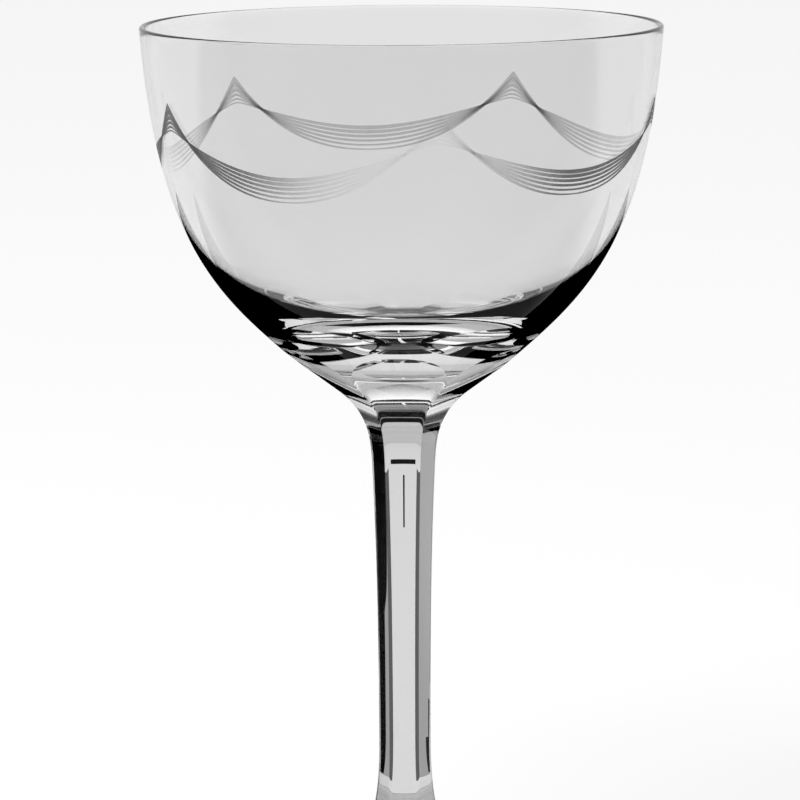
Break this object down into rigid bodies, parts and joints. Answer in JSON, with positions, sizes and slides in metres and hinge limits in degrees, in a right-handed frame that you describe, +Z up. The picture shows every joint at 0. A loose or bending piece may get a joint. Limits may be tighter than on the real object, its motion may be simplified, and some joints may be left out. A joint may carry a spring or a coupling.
{
  "type": "nick and nora glass",
  "caption": "Small stemmed cocktail glass with an egg-shaped bowl, etched swag lines, a panel-cut stem and a round foot.",
  "frame": {"origin": "centre of the foot's resting face", "axes": "+Z up along the glass's axis, +Y away from the viewer of the picture, with one stem panel facing -Y"},
  "size_m": [0.076, 0.076, 0.128],
  "materials": {
    "bowl_glass": "clear fire-polished glass with fine etched lines",
    "stem_glass": "clear cut and polished glass",
    "foot_glass": "clear fire-polished glass"
  },
  "bodies": {
    "root": {"bowl": "bowl_glass", "stem": "stem_glass", "foot": "foot_glass"}
  },
  "joints": []
}
